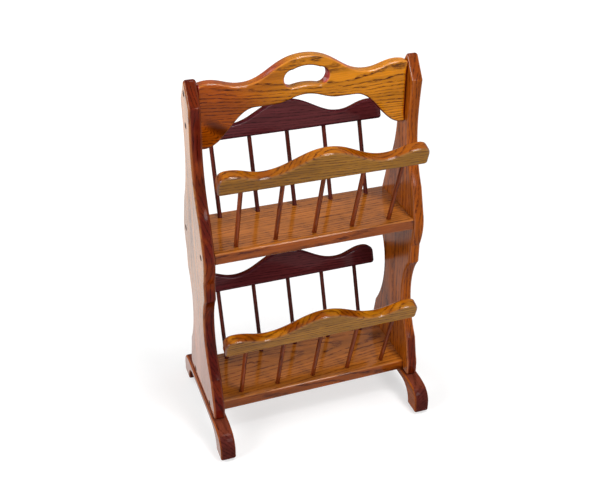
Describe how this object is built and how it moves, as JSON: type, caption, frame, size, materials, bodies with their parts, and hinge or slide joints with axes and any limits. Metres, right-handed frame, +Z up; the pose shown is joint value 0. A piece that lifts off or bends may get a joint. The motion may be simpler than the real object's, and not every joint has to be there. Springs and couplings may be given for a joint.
{
  "type": "magazine rack",
  "caption": "Tiered wooden magazine rack with scalloped side panels on trestle feet, leaning rails on round spindles and a carrying handle board.",
  "frame": {"origin": "on the floor under the middle of the rack", "axes": "+X to the right along the rails, +Y from the front to the rear, +Z up"},
  "size_m": [0.3744, 0.255, 0.636],
  "materials": {
    "oak_boards": "gloss lacquer over honey-stained oak",
    "oak_spindles": "gloss lacquer over stained dowel",
    "oak_plugs": "flush end-grain plug under lacquer",
    "zinc_steel": "zinc plated",
    "glide_plastic": "matte black"
  },
  "bodies": {
    "root": {"left_side_panel": "oak_boards", "left_foot": "oak_boards", "right_side_panel": "oak_boards", "right_foot": "oak_boards", "handle_board": "oak_boards", "upper_shelf": "oak_boards", "lower_shelf": "oak_boards", "upper_front_rail": "oak_boards", "upper_front_spindle_1": "oak_spindles", "upper_front_spindle_2": "oak_spindles", "upper_front_spindle_3": "oak_spindles", "upper_front_spindle_4": "oak_spindles", "upper_front_spindle_5": "oak_spindles", "upper_rear_rail": "oak_boards", "upper_rear_spindle_1": "oak_spindles", "upper_rear_spindle_2": "oak_spindles", "upper_rear_spindle_3": "oak_spindles", "upper_rear_spindle_4": "oak_spindles", "upper_rear_spindle_5": "oak_spindles", "lower_front_rail": "oak_boards", "lower_front_spindle_1": "oak_spindles", "lower_front_spindle_2": "oak_spindles", "lower_front_spindle_3": "oak_spindles", "lower_front_spindle_4": "oak_spindles", "lower_front_spindle_5": "oak_spindles", "lower_rear_rail": "oak_boards", "lower_rear_spindle_1": "oak_spindles", "lower_rear_spindle_2": "oak_spindles", "lower_rear_spindle_3": "oak_spindles", "lower_rear_spindle_4": "oak_spindles", "lower_rear_spindle_5": "oak_spindles", "left_front_glide": "glide_plastic", "left_rear_glide": "glide_plastic", "right_front_glide": "glide_plastic", "right_rear_glide": "glide_plastic", "left_handle_1_screw": "zinc_steel", "left_handle_2_screw": "zinc_steel", "left_upper_shelf_1_screw": "zinc_steel", "left_upper_shelf_2_screw": "zinc_steel", "left_lower_shelf_1_screw": "zinc_steel", "left_lower_shelf_2_screw": "zinc_steel", "right_handle_1_screw": "zinc_steel", "right_handle_2_screw": "zinc_steel", "right_upper_shelf_1_screw": "zinc_steel", "right_upper_shelf_2_screw": "zinc_steel", "right_lower_shelf_1_screw": "zinc_steel", "right_lower_shelf_2_screw": "zinc_steel", "left_handle_1_plug": "oak_plugs", "left_handle_2_plug": "oak_plugs", "left_upper_shelf_1_plug": "oak_plugs", "left_upper_shelf_2_plug": "oak_plugs", "left_lower_shelf_1_plug": "oak_plugs", "left_lower_shelf_2_plug": "oak_plugs", "right_handle_1_plug": "oak_plugs", "right_handle_2_plug": "oak_plugs", "right_upper_shelf_1_plug": "oak_plugs", "right_upper_shelf_2_plug": "oak_plugs", "right_lower_shelf_1_plug": "oak_plugs", "right_lower_shelf_2_plug": "oak_plugs"}
  },
  "joints": []
}
